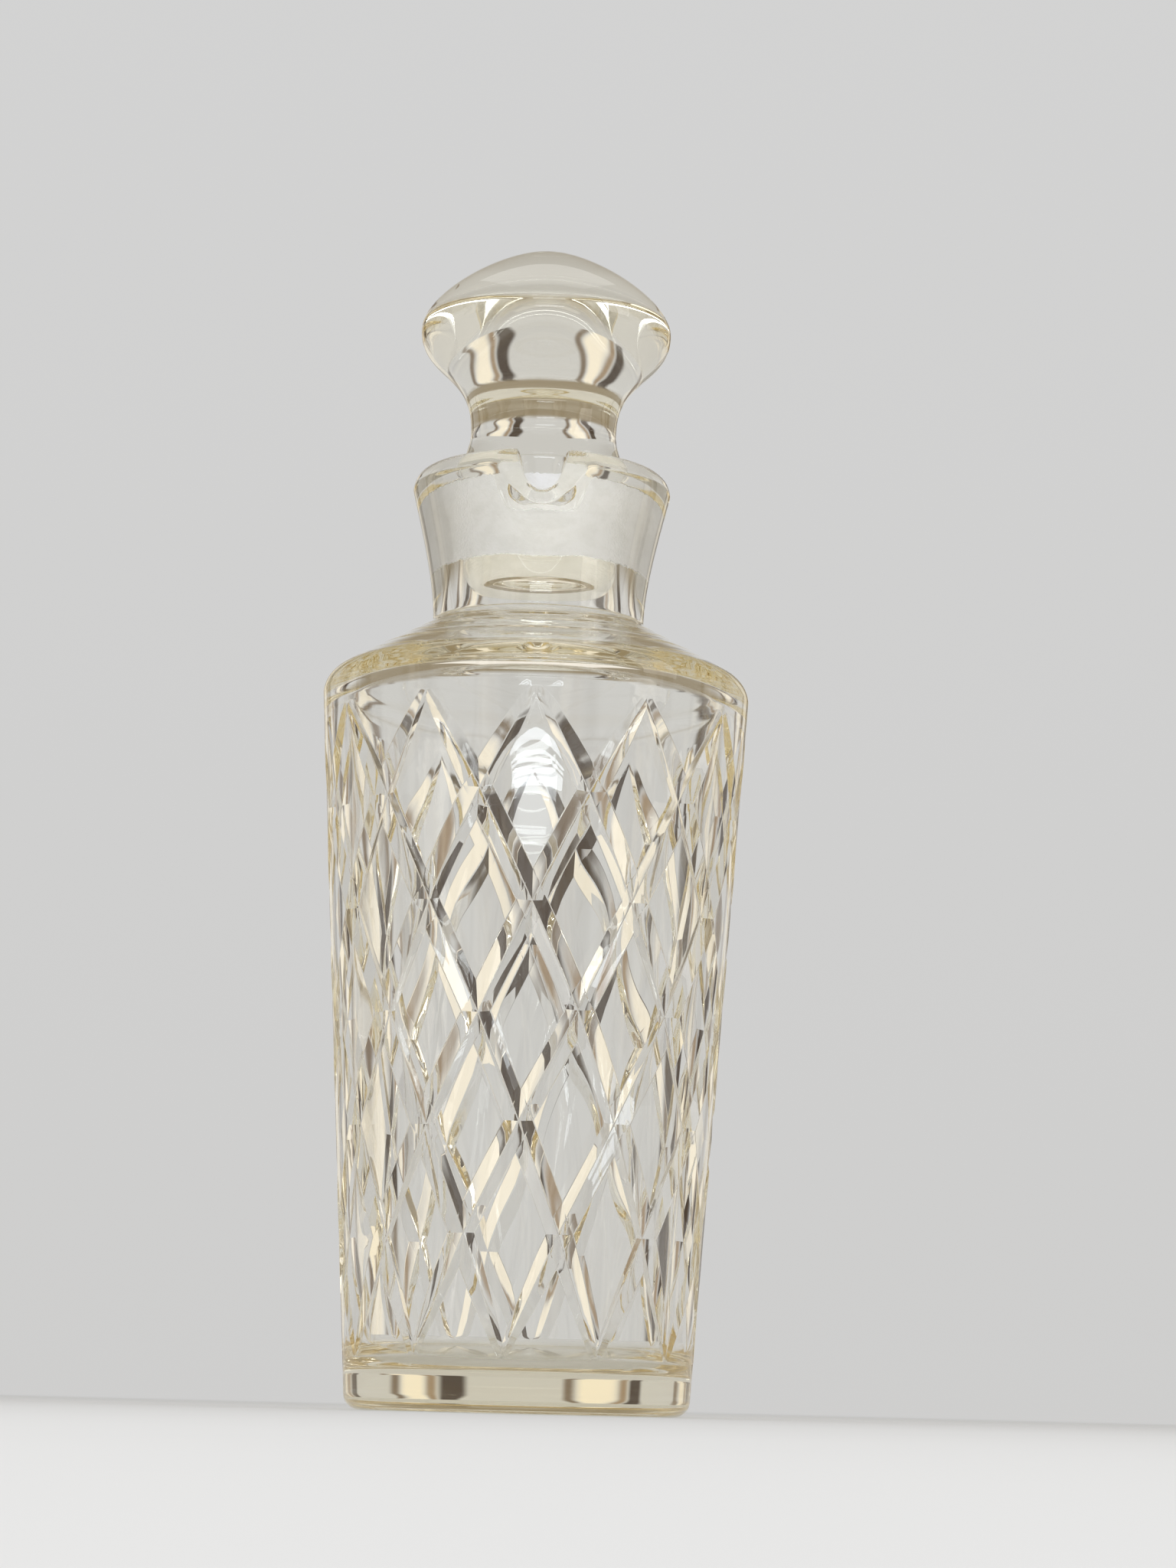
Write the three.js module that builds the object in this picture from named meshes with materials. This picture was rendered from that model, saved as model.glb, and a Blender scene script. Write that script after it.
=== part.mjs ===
// Cut glass carafe: a round bottle that tapers to its foot, with a lattice of mitre cuts round the
// body, a flared collar with a pouring lip, and a solid glass stopper ground into the bore.
// Millimetres and degrees, +Z up. The origin is the centre of the base, and the lip points to -Y.
import * as THREE from 'three';

// Bottle body
const FOOT_RADIUS = 37.5; // wall radius just above the rounded foot
const FOOT_ROUND = 3.5; // rounding between the base and the wall
const SHOULDER_RADIUS = 47.4; // wall radius just below the rounded shoulder
const SHOULDER_HEIGHT = 156.7; // height of that place above the base
const SHOULDER_ROUND = 6; // rounding between the wall and the sloping shoulder
const SHOULDER_SLOPE = 28.8; // slope of the shoulder above the horizontal
const WALL = 5; // glass thickness of the wall
const SHOULDER_WALL = 5.5; // glass thickness of the shoulder
const FLOOR = 9; // glass thickness of the base
const FLOOR_ROUND = 7; // rounding inside, between the floor and the wall

// Ground bore, collar and rim
const BORE_RADIUS = 19; // radius of the ground bore at its upper end
const BORE_LENGTH = 19.5; // length of the ground bore
const BORE_TAPER = 1.2; // the bore's radius shrinks by this much over its length
const THROAT_FILLET = 2; // rounding between the throat and the inside of the shoulder
const NECK_WALL = 5.8; // glass thickness where the collar rises from the shoulder
const NECK_FILLET = 2; // hollow rounding between the shoulder and the collar
const COLLAR_HEIGHT = 34.7; // from there to the top of the rim
const COLLAR_WALL = 9.9; // glass thickness at the widest place of the collar
const RIM_ROUND = 4.2; // the rounding of the rim starts this far below its top
const CROWN_INSET = 3.3; // the top of the rim lies this far in from the widest place
const MOUTH_DEPTH = 2; // the ground bore starts this far below the top of the rim

// Pouring lip: the rim is drawn out and down on the outside, and a narrower round channel runs
// down its inside
const LIP_WIDTH = 25; // width of the lip round the outside of the rim
const LIP_LENGTH = 30; // the lip starts this far below the top of the rim
const LIP_DIP = 10; // the rim dips by this much at the lip
const LIP_REACH = 2.5; // the outside of the rim stands out by this much at the lip
const LIP_FULLNESS = 1.2; // more keeps the middle of the lip broader
const LIP_STEEPNESS = 2; // more lets its sides run out more gently
const CHANNEL_WIDTH = 13; // width of the channel round the top of the rim
const CHANNEL_LENGTH = 11.5; // the channel starts this far below the top of the rim
const CHANNEL_REACH = 9.5; // the inside of the mouth is drawn out by this much in the channel
const CHANNEL_FULLNESS = 1.4; // more keeps the bottom of the channel broader
const CHANNEL_STEEPNESS = 1.2; // less makes its sides steeper

// Lattice of mitre cuts
const CUTS = 12; // cuts of each hand round the bottle
const CUT_ROWS = 6; // rows of half diamonds between the upper and the lower tips
const CUT_WIDTH = 5.7; // width of a cut across its length
const CUT_DEPTH = 1.6; // depth of a cut along its middle
const TOP_MARGIN = 5.7; // the upper tips stop this far below the shoulder height
const FOOT_MARGIN = 11.3; // the lower tips stop this far above the base
const TOP_TIP = 21.5; // height of the upper row, in which the cuts run out
const FOOT_TIP = 25.2; // height of the lower row, in which the cuts run out
const FOOT_DRIFT = -5; // degrees that the lower tips stand off the upper ones

// Stopper
const FIT_GAP = 0.35; // clearance between the ground plug and the ground bore
const PLUG_PROUD = 2.3; // the ground plug stands this far out of the bore
const PLUG_LAND = 0.4; // straight polished stretch below the ground bore
const PLUG_END_ROUND = 4.8; // rounding of the plug's lower edge
const STEM_STEP = 0.2; // the stem's radius is this much less than the plug's where they meet
const WAIST_RADIUS = 16.4; // narrowest radius of the stem
const WAIST_RISE = 10; // height of the waist above the rim
const KNOB_RADIUS = 28.3; // widest radius of the knob
const KNOB_RISE = 33.4; // height of that widest place above the rim
const DOME_HEIGHT = 19; // from the widest place to the top of the dome

// How the curved outlines bend: two handles each, as shares of the way from the curve's start to
// its end, first in radius and then in height
const FLARE_BEND = [[0, 0.3], [0.6, 0.7]];
const OUTER_RIM_BEND = [[0, 0.6], [0.5, 1]];
const INNER_RIM_BEND = [[0.4, 0], [0.8, 0.4]];
const STEM_BEND = [[0.1, 0.25], [1, 0.6]];
const KNOB_BEND = [[0, 0.62], [1, 0.58]];
const DOME_BEND = [[0, 0.39], [0.67, 1]];

// Fineness of the faceted surfaces
const STOPPER_SEGMENTS = 48;
const LINES_PER_CUT = 5; // grid lines from one cut to the next of the same hand
const COLUMNS = CUTS * LINES_PER_CUT;
const GATHER = 0.5; // share by which the columns of the collar crowd together at the lip
const FILLET_STEPS = 4;
const SLOPE_STEPS = 4;
const BORE_STEPS = 6;

// Tints of the glass
const BOTTLE_TINT = 0xe9ead9;
const STOPPER_TINT = 0xeceddf;

const lerp = THREE.MathUtils.lerp;
const clamp = THREE.MathUtils.clamp;
const radians = THREE.MathUtils.degToRad;
const smooth = (x) => THREE.MathUtils.smoothstep(x, 0, 1);

// Radii and heights that follow from the sizes above
const wallTaper = (SHOULDER_RADIUS - FOOT_RADIUS) / (SHOULDER_HEIGHT - FOOT_ROUND);
const wallRadius = (z) => FOOT_RADIUS + (z - FOOT_ROUND) * wallTaper;
const shoulderTurn = 90 - SHOULDER_SLOPE; // degrees of turn from the wall to the slope
const turnRadius = SHOULDER_RADIUS - SHOULDER_ROUND;
const slopeStart = turnRadius + SHOULDER_ROUND * Math.cos(radians(shoulderTurn));
const slopeFoot = SHOULDER_HEIGHT + SHOULDER_ROUND * Math.sin(radians(shoulderTurn));
const slopeHeight = (r) => slopeFoot + (slopeStart - r) * Math.tan(radians(SHOULDER_SLOPE));

const throatRadius = BORE_RADIUS - BORE_TAPER;
const neckRadius = throatRadius + NECK_WALL;
const collarRadius = BORE_RADIUS + COLLAR_WALL;
const rimHeight = slopeHeight(neckRadius) + COLLAR_HEIGHT;
const boreTop = rimHeight - MOUTH_DEPTH;
const boreBottom = boreTop - BORE_LENGTH;
const boreRadius = (z) => BORE_RADIUS - (boreTop - z) * (BORE_TAPER / BORE_LENGTH);

// Points of an outline, as pairs of radius and height, along an arc of a circle
function arc(centreRadius, centreHeight, radius, fromDegrees, toDegrees) {
  return Array.from({ length: FILLET_STEPS + 1 }, (_, i) => {
    const angle = radians(lerp(fromDegrees, toDegrees, i / FILLET_STEPS));
    return [centreRadius + radius * Math.cos(angle), centreHeight + radius * Math.sin(angle)];
  });
}

// Points of an outline along a cubic curve from start to end, without the start itself
function curve(start, end, bend, steps) {
  const handles = bend.map((share) => share.map((part, i) => lerp(start[i], end[i], part)));
  const [a, b, c, d] = [start, ...handles, end].map(([r, z]) => new THREE.Vector2(r, z));
  const points = new THREE.CubicBezierCurve(a, b, c, d).getPoints(steps);
  return points.slice(1).map((point) => [point.x, point.y]);
}

// Lines of the lattice grid. A cut runs along every line whose number is a multiple of
// LINES_PER_CUT, its two edges are the lines beside it, and the rest cross the uncut diamonds.
const cutPitchAngle = radians(360 / CUTS);
const cutTop = SHOULDER_HEIGHT - TOP_MARGIN;
const rowPitch = (cutTop - TOP_TIP - FOOT_TIP - FOOT_MARGIN) / (CUT_ROWS - 2);
const halfPitch = (wallRadius((cutTop + FOOT_MARGIN) / 2) * cutPitchAngle) / 2;
const cutSpacing = (2 * halfPitch * rowPitch) / Math.hypot(halfPitch, rowPitch);
const cutHalf = CUT_WIDTH / 2 / cutSpacing; // half a cut's width as a share of the spacing
const lineOffsets = [0, cutHalf, 1 / 3, 2 / 3, 1 - cutHalf];

function linePosition(line) {
  const cut = Math.floor(line / LINES_PER_CUT);
  return cut + lineOffsets[line - cut * LINES_PER_CUT];
}

const onCut = (line) => line % LINES_PER_CUT === 0;

// Height of a place in the lattice, counted in rows down from the upper tips
function rowHeight(row) {
  if (row < 1) return cutTop - row * TOP_TIP;
  if (row <= CUT_ROWS - 1) return cutTop - TOP_TIP - (row - 1) * rowPitch;
  return FOOT_MARGIN + (CUT_ROWS - row) * FOOT_TIP;
}

// The cutter's hand drifted in the lower half of the lattice
const drift = (row) => radians(FOOT_DRIFT) * clamp((2 * row) / CUT_ROWS - 1, 0, 1);

// How much of the full width and depth a cut has: it runs out to nothing at both tips
function cutFullness(row) {
  const fromTip = Math.min(Math.abs(row), Math.abs(CUT_ROWS - row), 1);
  return 1 - (1 - fromTip) ** 2;
}

// Draws a line that edges a cut in towards the cut where the cut is narrower. other is the
// place of the line that it crosses there.
function narrowed(line, other) {
  const cut = Math.round(line);
  const edgesCut = Math.abs(Math.abs(line - cut) - cutHalf) < 1e-9;
  return edgesCut ? cut + (line - cut) * cutFullness(cut + other) : line;
}

const around = (angle, r, z) => new THREE.Vector3(r * Math.sin(angle), -r * Math.cos(angle), z);

// Place of the crossing of a line of one hand (u) with a line of the other hand (v)
function latticePoint(u, v) {
  const along = narrowed(linePosition(u), linePosition(v));
  const across = narrowed(linePosition(v), linePosition(u));
  const row = along + across;
  const z = rowHeight(row);
  const depth = onCut(u) || onCut(v) ? CUT_DEPTH * cutFullness(row) : 0;
  const angle = ((along - across) * cutPitchAngle) / 2 + drift(row);
  return around(angle, wallRadius(z) - depth, z);
}

// The pouring lip draws the rim out and down near the front. inward is 0 on the outside of the
// collar and 1 on the inside, where the channel lies. The channel's own width holds from the top
// of the rim inwards.
function lipped(angle, r, z, inward) {
  const overCrown = inward > 0 ? smooth((collarRadius - r) / CROWN_INSET) : 0;
  const halfAngle = lerp(LIP_WIDTH, CHANNEL_WIDTH, overCrown) / 2 / collarRadius;
  const fullness = lerp(LIP_FULLNESS, CHANNEL_FULLNESS, overCrown);
  const steepness = lerp(LIP_STEEPNESS, CHANNEL_STEEPNESS, overCrown);
  const length = lerp(LIP_LENGTH, CHANNEL_LENGTH, inward);
  const fromFront = Math.abs(Math.atan2(Math.sin(angle), Math.cos(angle)));
  const share = Math.min(1, fromFront / halfAngle);
  const across = Math.max(0, Math.cos((Math.PI / 2) * share ** fullness)) ** steepness;
  const pull = across * smooth((z - rimHeight + length) / length);
  return around(angle, r + pull * lerp(LIP_REACH, CHANNEL_REACH, inward), z - pull * LIP_DIP);
}

// A closed skin made of rings of COLUMNS points, each ring joined to the one before it
class RingSkin {
  constructor() {
    this.points = [];
    this.faces = [];
    this.last = null;
  }

  add(point) {
    return this.points.push(point) - 1;
  }

  ring(pointAt) {
    const ring = Array.from({ length: COLUMNS }, (_, m) => this.add(pointAt(m)));
    if (this.last !== null) this.join(this.last, ring);
    this.last = ring;
    return ring;
  }

  pole(z) {
    const pole = this.add(new THREE.Vector3(0, 0, z));
    if (this.last !== null) this.join(this.last, pole);
    this.last = pole;
  }

  // Joins two rings, or a ring and a single point, with triangles
  join(from, to) {
    const at = (ring, m) => (typeof ring === 'number' ? ring : ring[m % COLUMNS]);
    for (let m = 0; m < COLUMNS; m += 1) {
      if (typeof from !== 'number') this.faces.push([at(from, m), at(from, m + 1), at(to, m)]);
      if (typeof to !== 'number') this.faces.push([at(from, m + 1), at(to, m + 1), at(to, m)]);
    }
  }

  geometry() {
    const geometry = new THREE.BufferGeometry().setFromPoints(this.points);
    geometry.setIndex(this.faces.flat());
    geometry.computeVertexNormals();
    return geometry;
  }
}

// Fills the wall between the ring at the lower tips and the ring at the upper tips with the cut
// lattice. Grid points sit where lines of the two hands cross, so u + v is a point's level.
const levels = CUT_ROWS * LINES_PER_CUT;
const tipPoint = (level, column) => latticePoint(column + level / 2, level / 2 - column);

function addLattice(skin, lowerRing, upperRing) {
  const known = new Map();
  const vertex = (u, v) => {
    const level = u + v;
    const column = THREE.MathUtils.euclideanModulo(u - Math.ceil(level / 2), COLUMNS);
    if (level === 0) return upperRing[column];
    if (level === levels) return lowerRing[column];
    const key = level * COLUMNS + column;
    if (!known.has(key)) known.set(key, skin.add(latticePoint(u, v)));
    return known.get(key);
  };
  for (let level = -1; level < levels; level += 1) {
    for (let column = 0; column < COLUMNS; column += 1) {
      const u = column + Math.ceil(level / 2);
      const v = level - u;
      const left = vertex(u, v + 1);
      const right = vertex(u + 1, v);
      const top = level >= 0 ? vertex(u, v) : null;
      const bottom = level + 2 <= levels ? vertex(u + 1, v + 1) : null;
      // At the sides of a crossing the ridge between two cuts lies level, elsewhere it is upright
      const nearCut = (line) => onCut(line) || onCut(line + 1);
      const levelRidge = nearCut(u) && nearCut(v) && onCut(u) !== onCut(v);
      if (top === null) skin.faces.push([left, bottom, right]);
      else if (bottom === null) skin.faces.push([top, left, right]);
      else if (levelRidge) skin.faces.push([top, left, right], [left, bottom, right]);
      else skin.faces.push([top, left, bottom], [top, bottom, right]);
    }
  }
}

// Angle of a column: in step with the lattice where gather is 0, and crowded together at the lip
// where gather is 1
function columnAngle(m, gather) {
  const even = (2 * Math.PI * m) / COLUMNS;
  return lerp(linePosition(m) * cutPitchAngle, even - GATHER * Math.sin(even), gather);
}

const collarWidest = [collarRadius, rimHeight - RIM_ROUND];

// Outline of the outside of the collar, flaring to its widest place
function flareOutline() {
  const start = [neckRadius, slopeHeight(neckRadius) + NECK_FILLET / 2];
  return [start, ...curve(start, collarWidest, FLARE_BEND, 6)];
}

// Outline of the rim, from there over the top to the upper edge of the bore
function rimOutline() {
  const crown = [collarRadius - CROWN_INSET, rimHeight];
  return [
    ...curve(collarWidest, crown, OUTER_RIM_BEND, 4),
    ...curve(crown, [BORE_RADIUS, boreTop], INNER_RIM_BEND, 4),
  ];
}

// Outline of the inside, from the lower edge of the bore to the floor
function cavityOutline() {
  const innerWall = (z) => wallRadius(z) - WALL;
  const cosSlope = Math.cos(radians(SHOULDER_SLOPE));
  const innerSlope = (r) => slopeHeight(r) - SHOULDER_WALL / cosSlope;
  const throatEnd = throatRadius + THROAT_FILLET;
  const shoulderCentre = innerWall(SHOULDER_HEIGHT - SHOULDER_WALL) - SHOULDER_ROUND;
  const shoulderCentreHeight = innerSlope(shoulderCentre) - SHOULDER_ROUND / cosSlope;
  const floorCentreHeight = FLOOR + FLOOR_ROUND;
  const floorCentre = innerWall(floorCentreHeight) - FLOOR_ROUND;
  return [
    [throatRadius, innerSlope(throatRadius) + THROAT_FILLET],
    [throatEnd, innerSlope(throatEnd)],
    ...arc(shoulderCentre, shoulderCentreHeight, SHOULDER_ROUND, shoulderTurn, 0),
    ...arc(floorCentre, floorCentreHeight, FLOOR_ROUND, 0, -90),
  ];
}

function bottleGeometry() {
  const skin = new RingSkin();
  const ring = ([r, z], gather) => skin.ring((m) => around(columnAngle(m, gather), r, z));
  const collarRing = ([r, z], inward) => skin.ring((m) => lipped(columnAngle(m, 1), r, z, inward));

  // Base and foot, turned by the drift so that they stay in step with the lower tips
  skin.pole(0);
  arc(FOOT_RADIUS - FOOT_ROUND, FOOT_ROUND, FOOT_ROUND, -90, 0).forEach(([r, z]) =>
    skin.ring((m) => around(columnAngle(m, 0) + drift(CUT_ROWS), r, z)),
  );

  // Cut wall
  const lowerRing = skin.ring((m) => tipPoint(levels, m));
  skin.last = null;
  const upperRing = skin.ring((m) => tipPoint(0, m));
  addLattice(skin, lowerRing, upperRing);

  // Shoulder, on whose slope the columns gather step by step
  arc(turnRadius, SHOULDER_HEIGHT, SHOULDER_ROUND, 0, shoulderTurn).forEach((p) => ring(p, 0));
  for (let i = 1; i <= SLOPE_STEPS; i += 1) {
    const r = lerp(slopeStart, neckRadius + NECK_FILLET, i / SLOPE_STEPS);
    ring([r, slopeHeight(r)], i / SLOPE_STEPS);
  }

  // Collar, rim, ground bore and the inside
  flareOutline().forEach((p) => collarRing(p, 0));
  rimOutline().forEach((p) => collarRing(p, smooth((collarRadius - p[0]) / COLLAR_WALL)));
  for (let i = 1; i <= BORE_STEPS; i += 1) {
    const z = lerp(boreTop, boreBottom, i / BORE_STEPS);
    collarRing([boreRadius(z), z], 1);
  }
  cavityOutline().forEach((p) => ring(p, 1));
  skin.pole(FLOOR);
  return skin.geometry();
}

function stopperGeometry() {
  const plugRadius = (z) => boreRadius(z) - FIT_GAP;
  const plugTop = boreTop + PLUG_PROUD;
  const plugBottom = boreBottom - PLUG_LAND - PLUG_END_ROUND;
  const endCentre = plugRadius(boreBottom) - PLUG_END_ROUND;
  const stemFoot = [plugRadius(plugTop) - STEM_STEP, plugTop + STEM_STEP];
  const waist = [WAIST_RADIUS, rimHeight + WAIST_RISE];
  const widest = [KNOB_RADIUS, rimHeight + KNOB_RISE];
  const domeTop = [0, rimHeight + KNOB_RISE + DOME_HEIGHT];
  const outline = [
    [0, plugBottom],
    ...arc(endCentre, plugBottom + PLUG_END_ROUND, PLUG_END_ROUND, -90, 0),
    [plugRadius(boreBottom), boreBottom],
    [plugRadius(plugTop), plugTop],
    stemFoot,
    ...curve(stemFoot, waist, STEM_BEND, 4),
    ...curve(waist, widest, KNOB_BEND, 8),
    ...curve(widest, domeTop, DOME_BEND, 12),
  ];
  const points = outline.map(([r, z]) => new THREE.Vector2(r, z));
  return new THREE.LatheGeometry(points, STOPPER_SEGMENTS).rotateX(Math.PI / 2);
}

function glassMesh(name, geometry, color) {
  const material = new THREE.MeshStandardMaterial({
    color,
    roughness: 0.05,
    metalness: 0,
    transparent: true,
    opacity: 0.45,
  });
  const mesh = new THREE.Mesh(geometry, material);
  mesh.name = name;
  return mesh;
}

const carafe = new THREE.Group();
carafe.add(glassMesh('carafe_bottle', bottleGeometry(), BOTTLE_TINT));
carafe.add(glassMesh('stopper', stopperGeometry(), STOPPER_TINT));

export default carafe;
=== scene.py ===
"""Looks of the cut glass carafe: the bottle with its lattice of mitre cuts, the pouring lip and the
ground bore, and the solid stopper with its ground plug. Metres, +Z up, with the lip to -Y."""

import math

import bpy
import numpy as np
from mathutils import Matrix, Vector


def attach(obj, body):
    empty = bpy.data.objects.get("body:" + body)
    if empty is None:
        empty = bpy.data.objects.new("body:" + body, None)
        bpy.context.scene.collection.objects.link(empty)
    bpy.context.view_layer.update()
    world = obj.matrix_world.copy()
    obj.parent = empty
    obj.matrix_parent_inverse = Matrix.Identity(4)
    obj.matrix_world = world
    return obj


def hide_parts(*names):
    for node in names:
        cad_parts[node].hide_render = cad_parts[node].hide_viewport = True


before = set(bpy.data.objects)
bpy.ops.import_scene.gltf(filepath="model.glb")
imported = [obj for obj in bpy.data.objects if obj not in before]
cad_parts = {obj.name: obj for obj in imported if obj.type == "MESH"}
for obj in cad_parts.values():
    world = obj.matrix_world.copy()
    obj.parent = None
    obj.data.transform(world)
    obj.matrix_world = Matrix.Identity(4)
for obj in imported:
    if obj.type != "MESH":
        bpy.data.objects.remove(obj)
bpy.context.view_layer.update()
rng = np.random.default_rng(12)
MM = 0.001

# Camera of the photograph
CAMERA_DISTANCE = 806 * MM  # in front of the carafe's axis
CAMERA_HEIGHT = 2 * MM
CAMERA_PITCH = 9.6  # degrees above the horizon
CAMERA_PAN = 0.8565  # degrees to the right
CAMERA_ROLL = 1.461  # degrees
CAMERA_LENS = 84.375  # millimetres
PICTURE_SIDE = 36  # millimetres, the long side of the picture behind the lens

# Bottle body. From here to the studio sizes are in millimetres and angles in degrees.
FOOT_RADIUS = 37.5  # wall radius just above the rounded foot
FOOT_ROUND = 3.5  # rounding between the base and the wall
SHOULDER_RADIUS = 47.4  # wall radius just below the rounded shoulder
SHOULDER_HEIGHT = 156.7  # height of that place above the base
SHOULDER_ROUND = 6  # rounding between the wall and the sloping shoulder
SHOULDER_SLOPE = 28.8  # slope of the shoulder above the horizontal
WALL = 5  # glass thickness of the wall
SHOULDER_WALL = 5.5  # glass thickness of the shoulder
FLOOR = 9  # glass thickness of the base
FLOOR_ROUND = 7  # rounding inside, between the floor and the wall

# Ground bore, collar and rim
BORE_RADIUS = 19  # radius of the ground bore at its upper end
BORE_LENGTH = 19.5  # length of the ground bore
BORE_TAPER = 1.2  # the bore's radius shrinks by this much over its length
THROAT_FILLET = 2  # rounding between the throat and the inside of the shoulder
NECK_WALL = 5.8  # glass thickness where the collar rises from the shoulder
NECK_FILLET = 2  # hollow rounding between the shoulder and the collar
COLLAR_HEIGHT = 34.7  # from there to the top of the rim
COLLAR_WALL = 9.9  # glass thickness at the widest place of the collar
RIM_ROUND = 4.2  # the rounding of the rim starts this far below its top
CROWN_INSET = 3.3  # the top of the rim lies this far in from the widest place
MOUTH_DEPTH = 2  # the ground bore starts this far below the top of the rim

# Pouring lip: the rim is drawn out and down on the outside, and a narrower round channel runs down
# its inside
LIP_WIDTH = 25  # width of the lip round the outside of the rim
LIP_LENGTH = 30  # the lip starts this far below the top of the rim
LIP_DIP = 10  # the rim dips by this much at the lip
LIP_REACH = 2.5  # the outside of the rim stands out by this much at the lip
LIP_FULLNESS = 1.2  # more keeps the middle of the lip broader
LIP_STEEPNESS = 2  # more lets its sides run out more gently
CHANNEL_WIDTH = 13  # width of the channel round the top of the rim
CHANNEL_LENGTH = 11.5  # the channel starts this far below the top of the rim
CHANNEL_REACH = 9.5  # the inside of the mouth is drawn out by this much in the channel
CHANNEL_FULLNESS = 1.4  # more keeps the bottom of the channel broader
CHANNEL_STEEPNESS = 1.2  # less makes its sides steeper

# Lattice of mitre cuts
CUTS = 12  # cuts of each hand round the bottle
CUT_ROWS = 6  # rows of half diamonds between the upper and the lower tips
CUT_WIDTH = 5.7  # width of a cut across its length
CUT_DEPTH = 1.6  # depth of a cut along its middle
CUT_EDGE = 0.05  # rounding of a cut's edges and bottom, as a share of half its width
LEAST_WIDTH = 0.15  # share of its width that a cut still has at its tip
TOP_MARGIN = 5.7  # the upper tips stop this far below the shoulder height
FOOT_MARGIN = 11.3  # the lower tips stop this far above the base
TOP_TIP = 21.5  # height of the upper row, in which the cuts run out
FOOT_TIP = 25.2  # height of the lower row, in which the cuts run out
FOOT_DRIFT = -5  # degrees that the lower tips stand off the upper ones
TIP_STEP = 0.002  # least step between grid points at the tips, in rows
HAND_SHIFT = 0.02  # how far the cutter's hand set a cut off its place, as a share of the spacing
WALL_WAVE = 0.05  # unevenness of the inside of the wall
WAVE_COUNTS = (5, 8, 11, 14, 19)  # how many times each of its waves rises and falls round the bottle
WAVE_TWIST = 40  # height over which a wave turns by at most a radian
WAVE_FADE = 20  # height over which the waves run out at the floor and at the shoulder
TURNED_RINGS = [27.6, 31, 36.5]  # radii of the low turned rings on the shoulder
RING_RISE = 0.1  # how far they stand out
RING_WIDTH = 0.9  # half their width, where they have sunk to about a third of that

# Stopper
FIT_GAP = 0.35  # clearance between the ground plug and the ground bore
PLUG_PROUD = 2.3  # the ground plug stands this far out of the bore
PLUG_LAND = 0.4  # straight polished stretch below the ground bore
PLUG_END_ROUND = 4.8  # rounding of the plug's lower edge
STEM_STEP = 0.2  # the stem's radius is this much less than the plug's where they meet
WAIST_RADIUS = 16.4  # narrowest radius of the stem
WAIST_RISE = 10  # height of the waist above the rim
KNOB_RADIUS = 28.3  # widest radius of the knob
KNOB_RISE = 33.4  # height of that widest place above the rim
DOME_HEIGHT = 19  # from the widest place to the top of the dome

# How the curved outlines bend: two handles each, as shares of the way from the curve's start to
# its end, first in radius and then in height
FLARE_BEND = [(0, 0.3), (0.6, 0.7)]
OUTER_RIM_BEND = [(0, 0.6), (0.5, 1)]
INNER_RIM_BEND = [(0.4, 0), (0.8, 0.4)]
STEM_BEND = [(0.1, 0.25), (1, 0.6)]
KNOB_BEND = [(0, 0.62), (1, 0.58)]
DOME_BEND = [(0, 0.39), (0.67, 1)]
NECK_BEND = [(0.5, 0.4), (0.95, 0.5)]
THROAT_BEND = [(0, 0.5), (0.4, 0.9)]

# Fineness. The steps are the rings of points along each stretch of an outline.
DIAMOND_LINES = 5  # grid lines across an uncut diamond
SMOOTH_COLUMNS = 256  # columns of the bottle's uncut surfaces
GATHER = 0.35  # share by which these columns crowd together at the lip
TIP_GAP = 0.3  # height of the seam between them and the lattice
STOPPER_SEGMENTS = 192
ROUND_STEPS = 10  # rings on the roundings of the foot, the floor and both sides of the shoulder
SEAM_STEPS = 3  # rings between the lattice and these roundings
SLOPE_STEPS = 39
FILLET_STEPS = 5
FLARE_STEPS = 16
OUTER_RIM_STEPS = 10
INNER_RIM_STEPS = 12
BORE_STEPS = 16
THROAT_STEPS = 2
INNER_SLOPE_STEPS = 8
INNER_WALL_STEPS = 24
BASE_STEPS = 5
PLUG_FACE_STEPS = 4
PLUG_END_STEPS = 12
STEM_STEPS = 14
KNOB_STEPS = 28
DOME_STEPS = 36

# Glass. A noise is given by its scale, which is in features per metre, its detail and, where that
# isn't 0.5, its roughness. Its limits are the values between which something starts and is full.
IOR = 1.52
CLEAR_TINT = (0.985, 0.985, 0.975, 1)
DEPTH_TINT = (0.955, 0.89, 0.68, 1)  # the tint that grows with the light's way through the glass
BOTTLE_DENSITY = 13  # how fast it grows, per metre
STOPPER_DENSITY = 8
SHADE_TINT = (0.93, 0.93, 0.91, 1)  # what the glass lets through to the things in its shade
SMUDGE_NOISE = (45, 5, 0.6)
SMUDGE_LIMITS = (0.52, 0.75)
SMUDGE_ROUGHNESS = 0.05
WAVINESS_NOISE = (40, 0)
WAVINESS_HEIGHT = 0.002

# Ground zone along the bore and the plug
GROUND_STOP = 1.6  # it stops this far below the upper end of the bore
GROUND_EDGE = 0.25  # half the width over which it starts and stops
GROUND_RAGGED = 1.2  # height of the band in which its limits stray up and down
GROUND_REACH = (0.3, 0.6)  # it runs out between these distances outside the bore's surface
LIP_GROUND_DIP = 7.5  # its upper limit lies this much lower behind the lip
LIP_GROUND_SIDES = (4.5, 9.5)  # the dip runs out between these distances from the lip's middle
LIP_GROUND_BACK = -8  # the dip fades from this Y to the axis
FROST_DULL = (0.92, 0.92, 0.925, 1)
FROST_BRIGHT = (0.985, 0.985, 1, 1)
FROST_CLARITY = 0.15  # share of the light that the frost lets through
FROST_ROUGHNESS = (0.5, 0.68)
CLOUD_NOISE = (260, 6, 0.7)  # leads from dull to bright frost
CLOUD_LIMITS = (0.35, 0.62)
SPECKLE_NOISE = (900, 3)  # makes the limits of the zone ragged, and the frost more and less rough
SPECKLE_LIMITS = (0.3, 0.7)
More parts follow.
